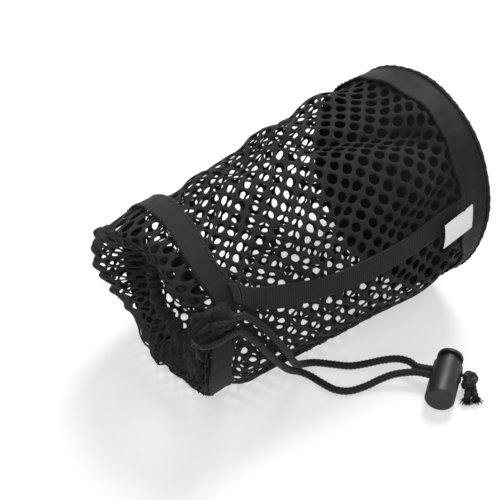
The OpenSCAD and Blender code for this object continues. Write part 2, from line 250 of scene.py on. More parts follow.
def cloth(name, dark, light, kind, scale=1.0, rough=0.8, sheen=0.25, bump_mm=0.06, patch=0.35):
    """Fabric whose threads follow the cloth's own coordinates, in mm."""
    m, nt, p = nodes_of(name)
    uv = node(nt, "ShaderNodeUVMap", uv_map="cloth").outputs[0]
    sep = node(nt, "ShaderNodeSeparateXYZ", [(0, uv)])
    x, y = sep.outputs[0], sep.outputs[1]
    k = 2 * math.pi / scale
    if kind == "knit":
        a = math_n(nt, "SINE", math_n(nt, "MULTIPLY", math_n(nt, "ADD", x, math_n(nt, "MULTIPLY", y, 0.55)), k))
        b = math_n(nt, "SINE", math_n(nt, "MULTIPLY", math_n(nt, "SUBTRACT", y, math_n(nt, "MULTIPLY", x, 0.3)), k * 0.8))
        t = math_n(nt, "ADD", math_n(nt, "MULTIPLY", a, 0.65), math_n(nt, "MULTIPLY", b, 0.35))
    elif kind == "rib":
        a = math_n(nt, "SINE", math_n(nt, "MULTIPLY", y, k))
        b = math_n(nt, "SINE", math_n(nt, "MULTIPLY", x, k * 2.2))
        t = math_n(nt, "ADD", math_n(nt, "MULTIPLY", a, 0.8), math_n(nt, "MULTIPLY", b, 0.2))
    elif kind == "satin":
        a = math_n(nt, "SINE", math_n(nt, "MULTIPLY", math_n(nt, "ADD", x, y), k))
        b = math_n(nt, "SINE", math_n(nt, "MULTIPLY", y, k * 1.7))
        t = math_n(nt, "ADD", math_n(nt, "MULTIPLY", a, 0.5), math_n(nt, "MULTIPLY", b, 0.5))
    else:
        a = math_n(nt, "SINE", math_n(nt, "MULTIPLY", x, k))
        b = math_n(nt, "SINE", math_n(nt, "MULTIPLY", y, k))
        t = math_n(nt, "MULTIPLY", a, b)
    t01 = math_n(nt, "MULTIPLY_ADD", t, 0.5, 0.5)
    geo = node(nt, "ShaderNodeTexCoord").outputs["Object"]
    big = node(nt, "ShaderNodeTexNoise", [("Vector", geo)], Scale=38.0, Detail=3.0).outputs["Fac"]
    fine = node(nt, "ShaderNodeTexNoise", [("Vector", geo)], Scale=1500.0, Detail=2.0).outputs["Fac"]
    mixf = math_n(nt, "ADD", math_n(nt, "MULTIPLY", t01, 0.5),
                  math_n(nt, "ADD", math_n(nt, "MULTIPLY", big, patch), math_n(nt, "MULTIPLY", fine, 0.3)))
    mixf = math_n(nt, "SUBTRACT", mixf, 0.15 + patch * 0.25)
    col = ramp(nt, mixf, [(0.05, dark), (0.9, light)])
    nt.links.new(col, p.inputs["Base Color"])
    r = math_n(nt, "MULTIPLY_ADD", big, 0.22, rough - 0.11)
    nt.links.new(r, p.inputs["Roughness"])
    p.inputs["Sheen Weight"].default_value = sheen
    p.inputs["Sheen Roughness"].default_value = 0.45
    p.inputs["Specular IOR Level"].default_value = 0.25
    h = math_n(nt, "ADD", t01, math_n(nt, "MULTIPLY", fine, 0.6))
    bp = node(nt, "ShaderNodeBump", [("Height", h)], Strength=0.7, Distance=bump_mm * MM)
    nt.links.new(bp.outputs[0], p.inputs["Normal"])
    return m


def plastic(name, dark, light, rough=0.5, grain=900.0, bump_mm=0.02):
    m, nt, p = nodes_of(name)
    geo = node(nt, "ShaderNodeTexCoord").outputs["Object"]
    big = node(nt, "ShaderNodeTexNoise", [("Vector", geo)], Scale=90.0, Detail=4.0).outputs["Fac"]
    fine = node(nt, "ShaderNodeTexNoise", [("Vector", geo)], Scale=grain, Detail=2.0).outputs["Fac"]
    # convex edges (Pointiness) are painted lighter: a painted highlight along the edges
    edge = node(nt, "ShaderNodeNewGeometry").outputs["Pointiness"]
    painted_edge_highlight = ramp(nt, edge, [(0.5, (0, 0, 0)), (0.6, (1, 1, 1))])
    f = math_n(nt, "ADD", math_n(nt, "MULTIPLY", big, 0.7), math_n(nt, "MULTIPLY", painted_edge_highlight, 0.5))
    col = ramp(nt, f, [(0.2, dark), (1.0, light)])
    nt.links.new(col, p.inputs["Base Color"])
    nt.links.new(math_n(nt, "MULTIPLY_ADD", big, 0.25, rough - 0.12), p.inputs["Roughness"])
    bp = node(nt, "ShaderNodeBump", [("Height", fine)], Strength=0.5, Distance=bump_mm * MM)
    nt.links.new(bp.outputs[0], p.inputs["Normal"])
    return m


NET = cloth("net", (0.0045, 0.005, 0.005), (0.026, 0.0275, 0.0235), "knit", 0.62, 0.8, 0.05, 0.07)
TAPE = cloth("tape", (0.007, 0.0075, 0.0065), (0.028, 0.030, 0.0245), "rib", 0.9, 0.75, 0.05, 0.12)
WEB = cloth("webbing", (0.007, 0.0075, 0.0068), (0.030, 0.032, 0.027), "rib", 1.1, 0.75, 0.05, 0.14)
SATIN = cloth("satin_band", (0.0025, 0.003, 0.0032), (0.0105, 0.0118, 0.0115), "satin", 0.5, 0.6, 0.04, 0.02, 0.55)
LABEL = cloth("label_satin", (0.88, 0.88, 0.87), (0.98, 0.98, 0.97), "satin", 0.45, 0.42, 0.0, 0.015, 0.2)
CORD = cloth("cord", (0.004, 0.004, 0.0038), (0.026, 0.027, 0.024), "knit", 0.45, 0.5, 0.04, 0.05)
THREAD = cloth("thread", (0.008, 0.008, 0.008), (0.036, 0.037, 0.034), "plain", 0.4, 0.6, 0.2, 0.03)
LOCK = plastic("lock_plastic", (0.005, 0.0052, 0.005), (0.014, 0.0145, 0.0138), 0.5)
WIRE = plastic("spring_wire", (0.45, 0.45, 0.47), (0.7, 0.7, 0.72), 0.3)
WIRE.node_tree.nodes["Principled BSDF"].inputs["Metallic"].default_value = 1.0


def holed(name, like):
    """The net's cloth where it lies in many layers: closed holes show as dark dots of painted shade."""
    m = like.copy()
    m.name = name
    nt = m.node_tree
    p = nt.nodes["Principled BSDF"]
    uv = node(nt, "ShaderNodeUVMap", uv_map="cloth").outputs[0]
    sep = node(nt, "ShaderNodeSeparateXYZ", [(0, uv)])
    cx = math_n(nt, "COSINE", math_n(nt, "MULTIPLY", math_n(nt, "ADD", sep.outputs[0], sep.outputs[1]), math.pi / 3.1))
    cy = math_n(nt, "COSINE", math_n(nt, "MULTIPLY", math_n(nt, "SUBTRACT", sep.outputs[0], sep.outputs[1]), math.pi / 3.1))
    dot = math_n(nt, "SMOOTH_MIN", math_n(nt, "MAXIMUM", math_n(nt, "MULTIPLY_ADD", math_n(nt, "ADD", cx, cy), 2.2, -1.9), 0.0), 1.0, 0.1)
    src = p.inputs["Base Color"].links[0].from_socket
    mix = nt.nodes.new("ShaderNodeMix")
    mix.data_type = "RGBA"
    nt.links.new(dot, mix.inputs[0])
    nt.links.new(src, mix.inputs[6])
    # near-black painted shade where one looks into the holes
    mix.inputs[7].default_value = (0.0012, 0.0012, 0.0012, 1)
    nt.links.new(mix.outputs[2], p.inputs["Base Color"])
    return m


FOLDED = holed("net_in_folds", NET)

# ---------------------------------------------------------------- drawcord: routes repeat part.scad
route_a = [
    (-80, -23.9, 64.6), (-81, -26.4, 62.4), (-84, -29.4, 62.2), (-88.2, -33, 63.8), (-91.5, -38, 66.4),
    (-91.5, -43.4, 68.8), (-86, -47.2, 69.4), (-78.4, -46.4, 67.6), (-71.5, -45.8, 65), (-67.1, -47.2, 60.7),
    (-62.5, -49.4, 54.7), (-58, -50.8, 47.6), (-53.5, -51, 39.3), (-48.5, -50, 30.2), (-44, -47.6, 21.5),
    (-38, -43.5, 12.5), (-31, -39.8, 5.5), (-24, -40, 2.2), (-18, -46, 2), (-12.5, -51.6, 2),
    (-6, -55.5, 2.6), (0.5, -59.5, 4), (5.5, -64.5, 5.8), (8, -70, 6.8)]
route_b = [
    (-80.4, -28.9, 52.8), (-81.6, -29.8, 55.6), (-85.4, -32.8, 57.6), (-90, -37, 58.8), (-94.2, -42, 60.2),
    (-94.6, -47.6, 61.8), (-89.6, -50.4, 62.6), (-82.4, -49.2, 61.8), (-75.7, -48, 59.7), (-71.3, -49, 55.1),
    (-66.9, -50.2, 49), (-62.6, -50.6, 41.7), (-57.5, -49.8, 33.6), (-52, -48, 25), (-46.5, -46, 17),
    (-40.5, -43, 9.5), (-35, -41.5, 4.2), (-31.5, -45, 2.1), (-30, -52, 2), (-28, -59, 2),
    (-23.5, -63.8, 2), (-16, -66.5, 2.4), (-8, -68.5, 4), (-1.5, -71.8, 6)]


def on_lock(s, q):
    return LOCK_P + s * LOCK_U + q * LOCK_Q


KNOT = on_lock((CORD_HI + CORD_LO) / 2, -11.2) - np.array([0, 0, 2.0])
cord_objs = {}
for key, route, s in (("a", route_a, CORD_HI), ("b", route_b, CORD_LO)):
    pts = [np.array(q, float) for q in route] + [on_lock(s, 14), on_lock(s, 7), on_lock(s, 0), on_lock(s, -7.6)]
    line, length = catmull(pts, 620)
    v, f, uv = braid(line, CORD_R)
    ob = make(f"cord_strand_{key}", v, f, uv, CORD, body="bag")
    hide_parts(f"drawcord_{key}")
    cord_objs[key] = (ob, line, length)
    print("cord", key, "length mm", round(length, 1))

# ---------------------------------------------------------------- net: a sheet hung over what fills it
BALL = 21.33
fill = [
    (-42.4, 10.1, 72.6), (-1.9, 13.1, 71.2), (36.1, 24.6, 70.2), (58.6, -7.6, 73.4), (36.5, -20.7, 65.1),
    (-25.4, -23.0, 62.1), (29.7, -26.1, 25.9), (-78.3, -6.8, 51.3), (-65.6, 17.3, 24.7), (-27.8, 28.2, 41.3),
    (-32.3, -13.9, 22.5), (4.3, 8.0, 21.8), (46.0, 16.7, 24.3), (-62.0, -20.0, 27.0), (-2.0, -30.0, 44.0)]
NX, NA = 66, 136
grid_x = np.linspace(XF - 1.0, XR, NX)
grid_a = np.linspace(0, 2 * np.pi, NA, endpoint=False)
GX, GA = np.meshgrid(grid_x, grid_a, indexing="ij")
home = skin(GX, GA, -0.4)


def relax():
    balls = []
    flat = home.reshape(-1, 3)
    for c in np.array(fill):
        d = np.linalg.norm(flat - c, axis=1)
        k = int(np.argmin(d))
        gap = d[k] - BALL
        if abs(gap) < 8:
            c = c + (flat[k] - c) / d[k] * (gap + 0.7)
        balls.append(c)
    noise = np.zeros_like(GX)
    for _ in range(14):
        m, q, ph, am = rng.integers(1, 9), rng.uniform(0.02, 0.16), rng.uniform(0, 6.28), rng.uniform(0.4, 1)
        noise += am * np.sin(m * GA + q * GX + ph)
    noise /= noise.std()
    slack_x, slack_a = 1.012 + 0.012 * noise, 1.016 + 0.012 * np.roll(noise, 31, axis=1)
    p = home.copy()
    p += 0.25 * noise[..., None] * (home - np.array([0, 0, 46])) / 50
    v = np.zeros_like(p)
    rx = np.linalg.norm(np.diff(home, axis=0), axis=2) * (slack_x[1:] + slack_x[:-1]) / 2
    ra = np.linalg.norm(np.roll(home, -1, axis=1) - home, axis=2) * slack_a
    r2 = np.linalg.norm(home[2:] - home[:-2], axis=2)
    rd = np.linalg.norm(np.roll(home, -1, axis=1)[1:] - home[:-1], axis=2)
    free = ((GX > XC + 1.5) & (GX < XR - BAND_W + 1.0))[..., None].astype(float)

    def pull(a, b, rest, k):
        d = b - a
        n = np.linalg.norm(d, axis=-1, keepdims=True)
        s = k * 0.5 * (n - rest[..., None]) / np.maximum(n, 1e-6) * d
        return s

    for it in range(420):
        q = p + 0.94 * v * free
        q[..., 2] -= 0.012
        for _ in range(3):
            for o in (0, 1):
                s = pull(q[o:-1:2], q[o + 1::2], rx[o::2], 0.9)
                n = s.shape[0]
                q[o:-1:2][:n] += s
                q[o + 1::2][:n] -= s
            for o in (0, 1):
                A, B = q[:, o::2], np.roll(q, -1, axis=1)[:, o::2]
                s = pull(A, B, ra[:, o::2], 0.9)
                idx = (np.arange(o, NA, 2) + 1) % NA
                q[:, o::2] += s
                q[:, idx] -= s
            s = pull(q[:-2], q[2:], r2, 0.05)
            q[:-2] += s
            q[2:] -= s
            A, B = q[:-1], np.roll(q, -1, axis=1)[1:]
            s = pull(A, B, rd, 0.08)
            q[:-1] += s
            q[1:] -= np.roll(s, 1, axis=1)
            for c in balls:
                d = q - c
                n = np.linalg.norm(d, axis=-1, keepdims=True)
                q = np.where(n < BALL + 0.5, c + d / np.maximum(n, 1e-6) * (BALL + 0.5), q)
            q[..., 2] = np.maximum(q[..., 2], 0.5)
            move = q - home
            n = np.linalg.norm(move, axis=-1, keepdims=True)
            q = home + move * np.minimum(1, 5.2 / np.maximum(n, 1e-6))
            q = free * q + (1 - free) * home
        v = q - p
        p = q
    return p


net_p = relax()


def normals_of(p):
    d1 = np.gradient(p, axis=0)
    d2 = np.roll(p, -1, axis=1) - np.roll(p, 1, axis=1)
    n = np.cross(d2, d1)
    n /= np.linalg.norm(n, axis=2, keepdims=True)
    if np.sum(n[:, 0] * (p[:, 0] - p[:, 0].mean(axis=0))) < 0:
        n = -n
    return n


net_n = normals_of(net_p)


def cubic(t):
    return np.stack([-0.5 * t + t * t - 0.5 * t**3, 1 - 2.5 * t * t + 1.5 * t**3,
                     0.5 * t + 2 * t * t - 1.5 * t**3, -0.5 * t * t + 0.5 * t**3], -1)


def sample(field, x, a):
    """Smooth value of a grid field at station x (mm) and angle a (radians)."""
    u = np.clip((x - grid_x[0]) / (grid_x[1] - grid_x[0]), 0, NX - 1.0001)
    w = (a % (2 * np.pi)) / (2 * np.pi) * NA
    i, j = np.floor(u).astype(int), np.floor(w).astype(int)
    cu, cw = cubic(u - i), cubic(w - j)
    out = 0
    for di in range(4):
        ii = np.clip(i + di - 1, 0, NX - 1)
        row = 0
        for dj in range(4):
            jj = (j + dj - 1) % NA
            row = row + cw[..., dj, None] * field[ii, jj]
        out = out + cu[..., di, None] * row
    return out


def on_net(x, a, d=0.0):
    x, a, d = np.broadcast_arrays(np.asarray(x, float), np.asarray(a, float), np.asarray(d, float))
    n = sample(net_n, x, a)
    n = n / np.linalg.norm(n, axis=-1, keepdims=True)
    return sample(net_p, x, a) + n * d[..., None]


# ruffle: gathered net between the collar and the hem
RUF = 34.0


def mouth(a, r, dx=0.0):
    a, r, dx = np.broadcast_arrays(a, r, dx)
    return MOUTH + np.stack([r * np.cos(a) * math.tan(math.radians(5)) + dx, r * np.cos(a), r * np.sin(a)], -1)


def ruffle(k, a, d=0.0):
    """Gathered net: k = 0 at the collar, 1 at the hem."""
    k, a, d = np.broadcast_arrays(np.asarray(k, float), np.asarray(a, float), np.asarray(d, float))
    deg = np.degrees(a) % 360
    opening = 1 - 0.75 * bump(deg, 160, 18)
    ph = 1.3 * np.sin(2 * a + 0.7) + 0.9 * np.sin(5 * a + 2.1) + 1.1 * np.sin(3 * a - 0.5 + 2.0 * k)
    env = np.sin(np.pi * np.clip(k, 0, 1) ** 0.8)
    amp = (1.35 + 0.9 * k + 0.6 * np.sin(4 * a + 1 + 3 * k)) * np.clip(k * 4.5, 0, 1) * np.clip((1.03 - k) * 6, 0.25, 1)
    fold = np.sin(21 * a + ph) + 0.45 * np.sin(38 * a + 1.7 * ph + 4 * k) + 0.3 * np.sin(13 * a - ph + 5 * k)
    b = skin(XF, a, -0.4)
    m = mouth(a, MOUTH_R + HEM_R * 0.7)
    puff = (9 + 9 * np.cos(np.radians(deg - 50))) * opening + 1.5
    puff = puff + opening * (2.0 * np.sin(3 * a + 0.4) + 1.6 * np.sin(5 * a + 2.2)) * env
    s = np.sin(np.pi * np.clip(k, 0, 1) ** 0.75)
    c = b * (1 - k[..., None]) + m * k[..., None]
    out = np.stack([c[..., 0] - puff * s, c[..., 1] + 2 * np.cos(a) * np.sin(np.pi * k),
                    c[..., 2] + 2 * np.sin(a) * np.sin(np.pi * k)], -1)
    q = 0.75 * fold * amp * (0.35 + 0.65 * opening)
    rad = np.stack([np.zeros_like(a), np.cos(a), np.sin(a)], -1)
    out = out + rad * (q * np.clip(0.35 + 0.65 * k, 0, 1) + d)[..., None]
    out[..., 0] -= q * 0.4 * env + d * 0.6 * s
    out[..., 2] = np.maximum(out[..., 2], 0.5 + 0.3 * (q + 2))
    return out


def ruffle_point(k, a, d):
    e = 0.012
    p = ruffle(k, a)
    n = np.cross(ruffle(k, a + e) - ruffle(k, a - e), ruffle(k + e, a) - ruffle(k - e, a))
    n = n / np.maximum(np.linalg.norm(n, axis=-1, keepdims=True), 1e-9)
    return p + n * np.asarray(d)[..., None]


# ---------------------------------------------------------------- round-holed knitting
PA, COLS = 4.15, 74
HOLE = 2.16


def knit(rows, surface, name, start):
    """Round-holed net over the rows of cells; surface(L, a, d) gives points, L in mm of cloth."""
    p, q = np.meshgrid(np.arange(*rows), np.arange(COLS), indexing="ij")
    keep = (p + q) % 2 == 0
    p, q = p[keep], q[keep]
    n = len(p)
    k = np.arange(16)
    corners = np.array([(1, 0), (0, 1), (-1, 0), (0, -1), (1, 0)], float)
    edge = corners[k // 4] * (1 - (k % 4) / 4)[:, None] + corners[k // 4 + 1] * ((k % 4) / 4)[:, None]
    th = 2 * np.pi * k / 16
    pitch_a = 2 * np.pi * 49 / COLS
    jit = 0.10 * np.sin(p * 12.9898 + q * 78.233) + 0.06 * np.sin(p * 3.1 + q * 5.7)
    rh = (HOLE + jit)[:, None] * (1 + 0.035 * np.cos(6 * th + p[:, None]))

    def ring(r):
        return np.stack([p[:, None] + r * np.cos(th) / PA, q[:, None] + r * np.sin(th) / pitch_a], -1)

    outer = np.stack([p[:, None] + edge[:, 0], q[:, None] + edge[:, 1]], -1)
    key = np.round(outer * 8).astype(np.int64)
    key[..., 1] %= COLS * 8
    code = key[..., 0] * 100000 + key[..., 1]
    uniq, first, inv = np.unique(code.ravel(), return_index=True, return_inverse=True)
    inv = inv.reshape(n, 16)
    nu = len(uniq)
    out_pts = outer.reshape(-1, 2)[first]
    corner = (np.abs(out_pts - np.round(out_pts)).sum(axis=1) < 0.01)
    lay = []
    lay.append((out_pts, np.where(corner, 0.44, 0.37)))
    lay.append((ring(rh + 0.36).reshape(-1, 2), np.full(n * 16, 0.30)))
    lay.append((ring(rh).reshape(-1, 2), np.zeros(n * 16)))
    lay.append((ring(rh + 0.36).reshape(-1, 2), np.full(n * 16, -0.30)))
    lay.append((out_pts, -np.where(corner, 0.44, 0.37)))
    idx = [inv, nu + np.arange(n * 16).reshape(n, 16)]
    idx.append(idx[1] + n * 16)
    idx.append(idx[2] + n * 16)
    idx.append(inv + nu + 3 * n * 16)
    pts = np.concatenate([a for a, _ in lay])
    d = np.concatenate([b for _, b in lay])
    L = pts[:, 0] * PA
    ang = pts[:, 1] * 2 * np.pi / COLS + 0.0012 * (L - 90)
    v = surface(L, ang, d)
    faces = []
    k2 = (k + 1) % 16
    for a, b in zip(idx[:-1], idx[1:]):
        faces.append(np.stack([a[:, k], b[:, k], b[:, k2], a[:, k2]], -1).reshape(-1, 4))
    faces = np.concatenate(faces)
    return v, faces, np.stack([L, pts[:, 1] * pitch_a], -1)


# slack net drawn together in creases: line of (x, degrees), half width, share taken up, depth
creases = [
    ([(-18, 72), (-2.3, 85), (9.9, 94), (23, 100.5), (37.2, 108), (50, 118)], 8.0, 0.62, 3.4),
    ([(-60, 82), (-41, 78.5), (-24, 74), (-8, 66)], 7.0, 0.5, 1.6),
    ([(-62, 196), (-44, 204), (-24, 209), (0, 211), (22, 206)], 7.0, 0.5, 2.6),
    ([(-58, 124), (-40, 132), (-22, 137), (-6, 133), (8, 124)], 6.0, 0.4, 2.0),
    ([(8, 148), (22, 152), (36, 150), (50, 144)], 6.5, 0.45, 1.8),
    ([(-50, 20), (-20, 28), (10, 18), (44, 30)], 8.0, 0.5, 2.6),
    ([(-40, 318), (-10, 326), (24, 320), (46, 330)], 8.0, 0.45, 2.0)]


def body_surface(L, a, d):
    x = XF + L - RUF
    deg = np.degrees(a)
    dent = np.zeros_like(deg)
    shift = np.zeros_like(deg)
    for line, wide, take, deep in creases:
        lx, la = np.array(line, float).T
        mid = np.interp(x, lx, la)
        win = np.clip((x - lx[0]) / 12, 0, 1) * np.clip((lx[-1] + 2 - x) / 10, 0, 1)
        win = win * win * (3 - 2 * win)
        off = (deg - mid + 180) % 360 - 180
        shift -= take * wide * np.tanh(off / wide) * np.exp(-((off / (4.5 * wide)) ** 2)) * win
        new = off - take * wide * np.tanh(off / wide)
        dent += win * (deep * np.exp(-((new / (0.75 * wide)) ** 2)) - 0.35 * np.cos(new * 1.1) * np.exp(-((new / wide) ** 2)))
    return on_net(x, np.radians(deg + shift), d - dent)


def ruffle_surface(L, a, d):
    return ruffle_point(1 - L / RUF, a, d)


v, f, uv = knit((9, 44), body_surface, "net", 0)
mesh_net = make("net_body", v, f, uv, NET)
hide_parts("mesh_tube")
v, f, uv = knit((0, 9), ruffle_surface, "ruffle", 0)
ruffle_net = make("neck_ruffle_net", v, f, uv, NET)
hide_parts("neck_ruffle")

# hem tunnel: net rolled and scrunched round the cord, open where the cord comes out
ng, ns = 420, 20
ga = np.radians(np.linspace(174, 174 + 326, ng))
gs = np.linspace(0, 2 * np.pi, ns, endpoint=False)
A, S = np.meshgrid(ga, gs, indexing="ij")
cr = HEM_R * (1.05 + 0.2 * np.sin(23 * A + 2.5 * np.sin(3 * A) + 0.8 * np.sin(S)) + 0.1 * np.sin(41 * A + S * 2) + 0.12 * np.sin(5 * A + S) + 0.05 * np.sin(83 * A + 3 * S))
ends = np.clip(np.minimum(np.arange(ng), ng - 1 - np.arange(ng)) / 5, 0, 1)[:, None]
cr = cr * (0.72 + 0.28 * np.sqrt(ends))
out = mouth(A, MOUTH_R + cr * np.cos(S), cr * np.sin(S))
v = out.reshape(-1, 3)
inner = mouth(A, MOUTH_R + 2.0 * np.cos(S), 2.0 * np.sin(S)).reshape(-1, 3)
f = [grid_faces(ng, ns, wrap_m=True), grid_faces(ng, ns, wrap_m=True, flip=True) + ng * ns]
j = np.arange(ns)
for r0 in (0, (ng - 1) * ns):
    cap = np.stack([r0 + j, r0 + (j + 1) % ns, ng * ns + r0 + (j + 1) % ns, ng * ns + r0 + j], 1)
    f.append(cap if r0 else cap[:, ::-1])
uvh = np.stack([A * 25, S * 3], -1).reshape(-1, 2)
hem = make("hem_roll", np.concatenate([v, inner]), np.concatenate(f), np.concatenate([uvh, uvh]), NET)
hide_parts("hem_tunnel")
# doubled cloth of the gathered edge: soft deep folds between the net and the hem
def frill_at(k, a, side):
    """k = 0 at the edge sewn to the net, 1 at the hem; side -1 inside, 1 outside."""
    deg = np.degrees(a) % 360
    low = 1 - 0.55 * bump(deg, 275, 45)
    ph = 1.5 * np.sin(2 * a + 1.9) + 1.2 * np.sin(3 * a + 0.6 + k) + 0.8 * np.sin(7 * a)
    fold = np.sin(11 * a + ph + 1.1 * k) + 0.6 * np.sin(23 * a - ph + 3 * k) + 0.25 * np.sin(53 * a + 5 * k)
    env = np.sin(np.pi * np.clip(0.12 + 0.80 * k, 0, 1))
    far = 0.5 + 0.5 * np.cos(a - 0.3)
    lo = 0.66 - 0.44 * far + 0.05 * np.sin(5 * a + 1) + 0.03 * np.sin(11 * a)
    hi = 1.0 - 0.53 * far
    kk = lo + (hi - lo) * k
    p = ruffle(kk, a)
    rad = np.stack([np.zeros_like(a), np.cos(a), np.sin(a)], -1)
    push = low * (1.1 + 1.4 * env * (1 + 0.42 * fold)) + 0.45 * side
    p = p + rad * push[..., None]
    p[..., 0] -= 0.55 * low * env * (1 + 0.7 * fold) + 0.35 * side * env
    p[..., 2] = np.maximum(p[..., 2], 0.45)
    return p


nk, nf = 22, 760
kk_, aa_ = np.meshgrid(np.linspace(0, 1, nk), np.radians(np.linspace(171, 171 + 332, nf)), indexing="ij")
outs, ins = frill_at(kk_, aa_, 1.0), frill_at(kk_, aa_, -1.0)
vv = np.concatenate([outs.reshape(-1, 3), ins.reshape(-1, 3)])
kf = nk * nf
g1 = grid_faces(nk, nf)
i, j = np.arange(nk - 1), np.arange(nf - 1)
walls = [np.stack([i * nf, (i + 1) * nf, kf + (i + 1) * nf, kf + i * nf], 1),
         np.stack([i * nf + nf - 1, kf + i * nf + nf - 1, kf + (i + 1) * nf + nf - 1, (i + 1) * nf + nf - 1], 1),
         np.stack([j, kf + j, kf + j + 1, j + 1], 1),
         np.stack([(nk - 1) * nf + j, (nk - 1) * nf + j + 1, kf + (nk - 1) * nf + j + 1, kf + (nk - 1) * nf + j], 1)]
uvf = np.stack([kk_ * 12, aa_ * 46], -1).reshape(-1, 2)
frill = make("gathered_edge", vv, np.concatenate([g1[:, ::-1], g1 + kf] + walls), np.concatenate([uvf, uvf]), FOLDED)


def bunch(name, centre, radii, turn, seed, amp=0.16):
    """A soft bunch of gathered cloth: a closed lump with folds running along it."""
    g = np.random.default_rng(seed)
    nu, nv = 90, 120
    th, ph = np.meshgrid(np.linspace(0.03, np.pi - 0.03, nu), np.linspace(0, 2 * np.pi, nv, endpoint=False), indexing="ij")
    r = 1 + 0 * th
    for q in range(9):
        mq, sq = g.integers(2, 10), g.uniform(1.5, 5)
        r = r + amp * g.uniform(0.3, 1) / (1 + 0.15 * mq) * np.sin(mq * ph + sq * th + g.uniform(0, 6.28)) * np.sin(th)
    r = r - amp * 1.2 * np.abs(np.sin(5 * ph + 2 * np.sin(2 * th) + seed)) ** 0.5 * np.sin(th)
    p = np.stack([r * np.cos(th), r * np.sin(th) * np.cos(ph), r * np.sin(th) * np.sin(ph)], -1) * np.array(radii)
    c, s = math.cos(turn), math.sin(turn)
    p = np.stack([p[..., 0] * c - p[..., 2] * s, p[..., 1], p[..., 0] * s + p[..., 2] * c], -1) + np.array(centre, float)
    p[..., 2] = np.maximum(p[..., 2], 0.5)
    uvb = np.stack([th * 10, ph * 8], -1).reshape(-1, 2)
    return make(name, p.reshape(-1, 3), grid_faces(nu, nv, wrap_m=True), uvb, FOLDED)


bunch("bunched_net_upper", (-86.5, -43.0, 66.5), (11.0, 7.6, 8.4), math.radians(14), 3, 0.2)
bunch("bunched_net_side", (-86.0, -38.0, 52.0), (6.4, 8.5, 9.5), math.radians(-8), 5)
bunch("bunched_net_low", (-87.0, -37.5, 33.0), (4.4, 5.0, 9.0), math.radians(5), 8)

loop = mouth(np.radians(np.linspace(174, 500, 700)), MOUTH_R)
v, f, uv = braid(loop, CORD_R)
lp = make("cord_in_hem", v, f, uv, CORD)
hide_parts("drawcord_loop")


# ---------------------------------------------------------------- belts: closed strips round the bag
def belt(profile, place, n=520, mat=None, name="belt"):
    """profile: closed list of (x, d); place(x, a, d) gives points."""
    prof = np.array(profile, float)
    a = np.linspace(0, 2 * np.pi, n, endpoint=False)
    A = np.repeat(a[:, None], len(prof), 1)
    v = place(np.repeat(prof[None, :, 0], n, 0), A, np.repeat(prof[None, :, 1], n, 0))
    uv = np.stack([np.repeat(prof[None, :, 0], n, 0), A * 48], -1)
    m = len(prof)
    fc = grid_faces(n, m, wrap_m=True, wrap_n=True)
    return make(name, v.reshape(-1, 3), fc, uv.reshape(-1, 2), mat)


def slab(x0, x1, d0, d1, n=14, crown=0.0, edge=0.25):
    x = np.linspace(x0, x1, n)
    t = np.linspace(0, 1, n)
    top = d1 + crown * np.sin(np.pi * t) - edge * ((t < 0.01) | (t > 0.99)) + 0.12 * ((t > 0.03) & (t < 0.13)) + 0.12 * ((t > 0.87) & (t < 0.97))
    return [(a, b) for a, b in zip(x, top)] + [(a, d0) for a in x[::-1][::4]]


def puckered(x, a, d):
    t = (x - XF) / TAPE_W
    w = 0.16 * np.sin(13 * a + 2 * np.sin(3 * a)) + 0.07 * np.sin(31 * a + 3 * t)
    w = w + 0.5 * np.clip(np.sin(5 * a + 1.2), 0, 1) * np.sin(9 * a + 2.5 * t)
    return skin(x + 0.35 * np.sin(11 * a + 1) * (t - 0.5), a, d + w * (d > 0.5) * 0.8)


tape = belt(slab(XF, XC, 0.15, 1.05), puckered, 620, TAPE, "collar_binding")
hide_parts("collar_tape")


def band_place(x, a, d):
    t = (x - (XR - BAND_W)) / BAND_W
    w = 0.22 * np.sin(19 * a + 3 * np.sin(2 * a)) * (1 - t) + 0.07 * np.sin(47 * a + 2 * t) * np.sin(np.pi * t)
    w = w + 0.4 * np.sin(7 * a + 5 * t + np.sin(3 * a)) * np.sin(np.pi * t)
    # the free edge wanders: the band is narrower at the near lower side
    deg = np.degrees(a) % 360
    near = bump(deg, 205, 24)
    xx = x + (1 - t) * (0.6 * np.sin(7 * a + 1) + 0.4 * np.sin(15 * a) + 10.0 * near + 2.5 * bump(deg, 115, 30))
    return skin(xx, a, d + w * (d > 0.5) * 0.8)


band = belt(slab(XR - BAND_W, XR, 0.15, 0.85, 20, 0.1), band_place, 620, SATIN, "base_band_satin")
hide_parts("base_band")


def rim_place(x, a, d):
    w = 0.12 * np.sin(60 * a) + 0.08 * np.sin(131 * a) + 0.2 * np.sin(9 * a)
    return skin(XR, a, d + w * (d > 0)) + np.stack([x, 0 * x, 0 * x], -1)


rim_profile = [(0.2, 0.9), (0.5, 1.25), (1.0, 1.4), (1.6, 1.35), (2.1, 1.0), (2.45, 0.45), (2.6, -0.2), (2.45, -0.8), (2.0, -1.25),
               (1.2, -1.4), (0.3, -1.4)]
rim = belt(rim_profile, rim_place, 760, TAPE, "rim_binding")
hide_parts("base_rim")

# base panel: net disc, slightly domed, with soft creases
nr, na = 40, 200
rr = np.linspace(0.004, 1, nr)
aa = np.linspace(0, 2 * np.pi, na, endpoint=False)
R, A = np.meshgrid(rr, aa, indexing="ij")
e = skin(XR, A, -1.0)
c = np.array([XR, 0.0, BH - SINK])
lump = np.zeros_like(R)
for yy, zz, am in ((-15, 70, 2.6), (22, 52, 2.4), (-18, 28, 2.2), (18, 20, 1.8)):
    pt_ = c + (e - c) * R[..., None]
    lump += am * np.exp(-(((pt_[..., 1] - yy) ** 2 + (pt_[..., 2] - zz) ** 2) / 300))
crease = 0.35 * np.sin(11 * A + 3 * R) * R**3 + 0.25 * np.sin(27 * A + 1) * R**6
ox = (3 * (1 - R * R) + (lump + crease) * (1 - R**4) + 0.3 * crease)
top = c + (e - c) * R[..., None] + np.stack([ox, 0 * ox, 0 * ox], -1)
bot = top - np.array([0.9, 0, 0])
